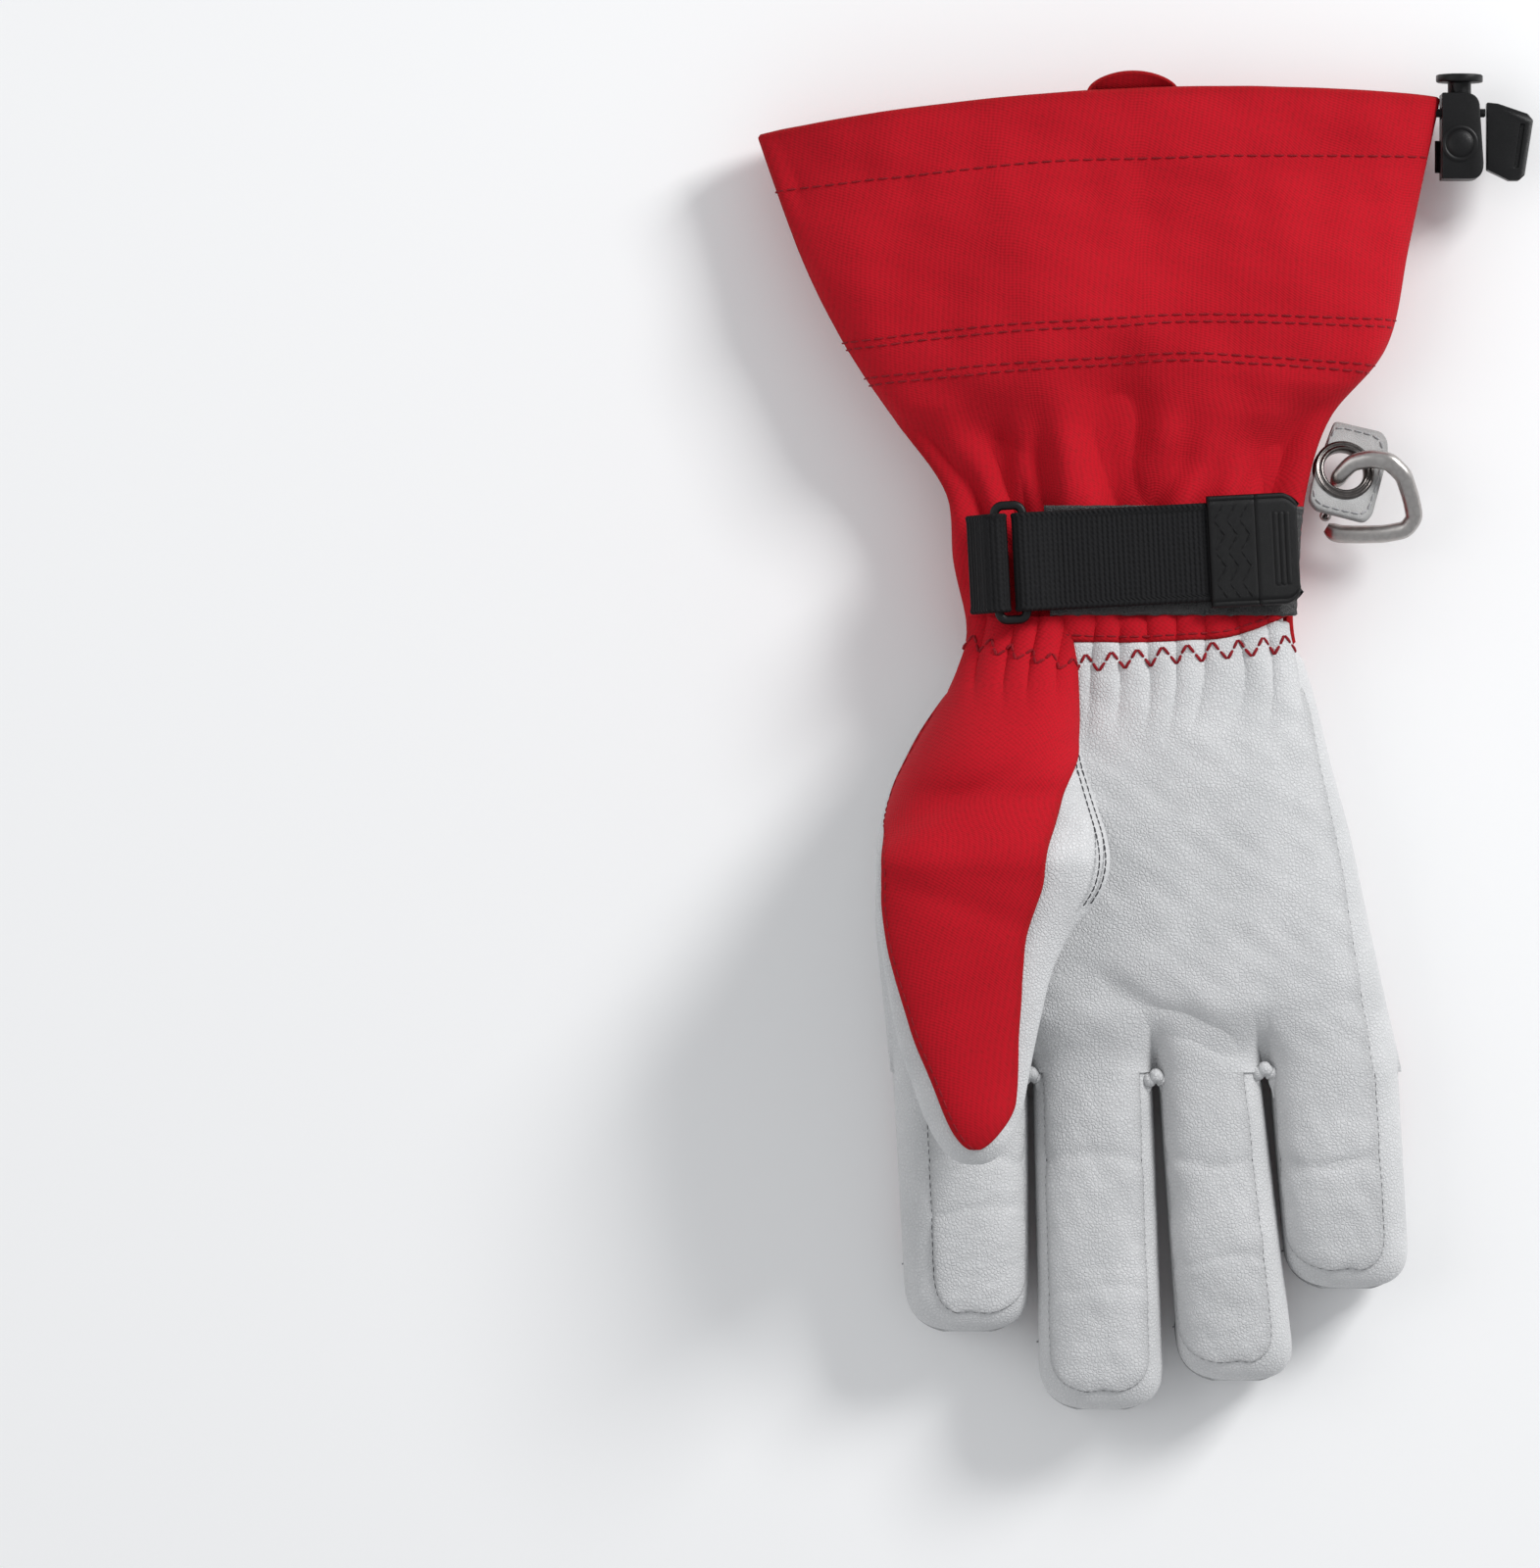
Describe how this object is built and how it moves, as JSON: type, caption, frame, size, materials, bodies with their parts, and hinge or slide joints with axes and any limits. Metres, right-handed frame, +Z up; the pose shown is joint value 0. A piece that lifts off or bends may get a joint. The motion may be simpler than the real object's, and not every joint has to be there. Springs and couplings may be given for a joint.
{
  "type": "ski glove",
  "caption": "Right-hand ski glove with a wide gauntlet, leather palm, fabric back, wrist strap with ring, eyelet with carabiner and hem drawcord.",
  "frame": {"origin": "on the resting surface, under the middle of the back of the hand", "axes": "+Y towards the gauntlet's hem, fingers towards -Y, thumb on the -X side, +Z up out of the palm"},
  "size_m": [0.1984, 0.3407, 0.0582],
  "materials": {
    "shell_fabric": "matte canvas weave, scarlet",
    "leather": "white goatskin, fine grain",
    "black_rubber": "satin black rubber",
    "black_plastic": "black nylon",
    "black_webbing": "ribbed black webbing and touch fastener",
    "lining": "charcoal fleece",
    "nickel": "dark polished nickel",
    "aluminium": "satin, slightly warm",
    "cord": "round elastic cord"
  },
  "bodies": {
    "hand": {"palm_panel": "leather", "hand_back_panel": "shell_fabric", "outer_side_panel": "leather", "index_side_panel": "leather", "fourchette_index_middle": "leather", "fourchette_middle_ring": "leather", "fourchette_ring_little": "leather", "thumb_root_panel": "shell_fabric", "thumb_gusset": "leather", "wrist_palm_panel": "shell_fabric", "wrist_back_panel": "shell_fabric", "wrist_elastic": "black_webbing", "gauntlet_palm_panel": "shell_fabric", "gauntlet_back_panel": "shell_fabric", "hem_binding": "shell_fabric", "glove_lining": "lining", "hanging_loop": "shell_fabric", "patch_leather": "leather", "patch_woven_field": "black_webbing", "strap_keeper": "black_webbing", "strap_loop_pad": "black_webbing", "eyelet_tab": "leather", "eyelet": "nickel", "lock_body": "black_plastic", "lock_spring": "aluminium", "lock_anchor_webbing": "black_webbing"},
    "index_finger": {"index_palm_piece": "leather", "index_back_piece": "shell_fabric", "index_side_wall": "leather", "index_tip_cap": "leather", "index_lining": "lining"},
    "middle_finger": {"middle_palm_piece": "leather", "middle_back_piece": "shell_fabric", "middle_side_wall": "leather", "middle_tip_cap": "leather", "middle_lining": "lining"},
    "ring_finger": {"ring_palm_piece": "leather", "ring_back_piece": "shell_fabric", "ring_side_wall": "leather", "ring_tip_cap": "leather", "ring_lining": "lining"},
    "little_finger": {"little_palm_piece": "leather", "little_back_piece": "shell_fabric", "little_side_wall": "leather", "little_tip_cap": "leather", "little_lining": "lining", "little_finger_loop": "leather"},
    "thumb": {"thumb_back_piece": "shell_fabric", "thumb_leather": "leather", "thumb_lining": "lining"},
    "ring": {"strap_ring": "black_plastic"},
    "strap_flap": {"strap_webbing": "black_webbing", "strap_pull_tab": "black_rubber", "strap_hook_patch": "black_webbing"},
    "carabiner": {"carabiner_body": "aluminium", "carabiner_gate_pin": "nickel"},
    "gate": {"carabiner_gate": "aluminium"},
    "plunger": {"lock_plunger": "black_plastic"},
    "cord_and_clip": {"drawcord": "cord", "cord_end_clip": "black_plastic"}
  },
  "joints": [
    {"name": "index_curl", "type": "hinge", "parent": "hand", "child": "index_finger", "pos_m": [-0.04667, -0.091, 0.0236], "axis": [-0.9996, -0.0286, 0], "range_deg": [0, 65]},
    {"name": "middle_curl", "type": "hinge", "parent": "hand", "child": "middle_finger", "pos_m": [-0.01305, -0.088, 0.0236], "axis": [-0.9996, -0.0289, 0], "range_deg": [0, 65]},
    {"name": "ring_curl", "type": "hinge", "parent": "hand", "child": "ring_finger", "pos_m": [0.01816, -0.087, 0.0236], "axis": [-0.9956, -0.0941, 0], "range_deg": [0, 65]},
    {"name": "little_curl", "type": "hinge", "parent": "hand", "child": "little_finger", "pos_m": [0.04909, -0.083, 0.0236], "axis": [-0.9978, -0.066, 0], "range_deg": [0, 65]},
    {"name": "thumb_lift", "type": "hinge", "parent": "hand", "child": "thumb", "pos_m": [-0.041, 0.009, 0.0542], "axis": [-1, 0, 0], "range_deg": [0, 45]},
    {"name": "ring_tilt", "type": "hinge", "parent": "hand", "child": "ring", "pos_m": [-0.03855, 0.06351, 0.0316], "axis": [0.0523, -0.9986, 0], "range_deg": [0, 35]},
    {"name": "strap_peel", "type": "hinge", "parent": "ring", "child": "strap_flap", "pos_m": [-0.03145, 0.06389, 0.0316], "axis": [0.0523, -0.9986, 0], "range_deg": [0, 130]},
    {"name": "carabiner_swing", "type": "hinge", "parent": "hand", "child": "carabiner", "pos_m": [0.0499, 0.0869, 0.015], "axis": [-0.4568, -0.7911, -0.4067], "range_deg": [0, 35]},
    {"name": "gate_open", "type": "hinge", "parent": "carabiner", "child": "gate", "pos_m": [0.0462, 0.0764, 0.01013], "axis": [0.2034, 0.3522, -0.9135], "range_deg": [0, 12], "stiffness_Nm_per_rad": 0.01, "springref_deg": -17.19},
    {"name": "lock_press", "type": "slide", "parent": "hand", "child": "plunger", "axis": [0, -1, 0], "range_m": [0, 0.0025], "stiffness_N_per_m": 300, "springref_m": -0.003, "deforming": ["lock_spring"]},
    {"name": "cord_pull", "type": "slide", "parent": "hand", "child": "cord_and_clip", "axis": [1, 0, 0], "range_m": [0, 0.012]}
  ]
}
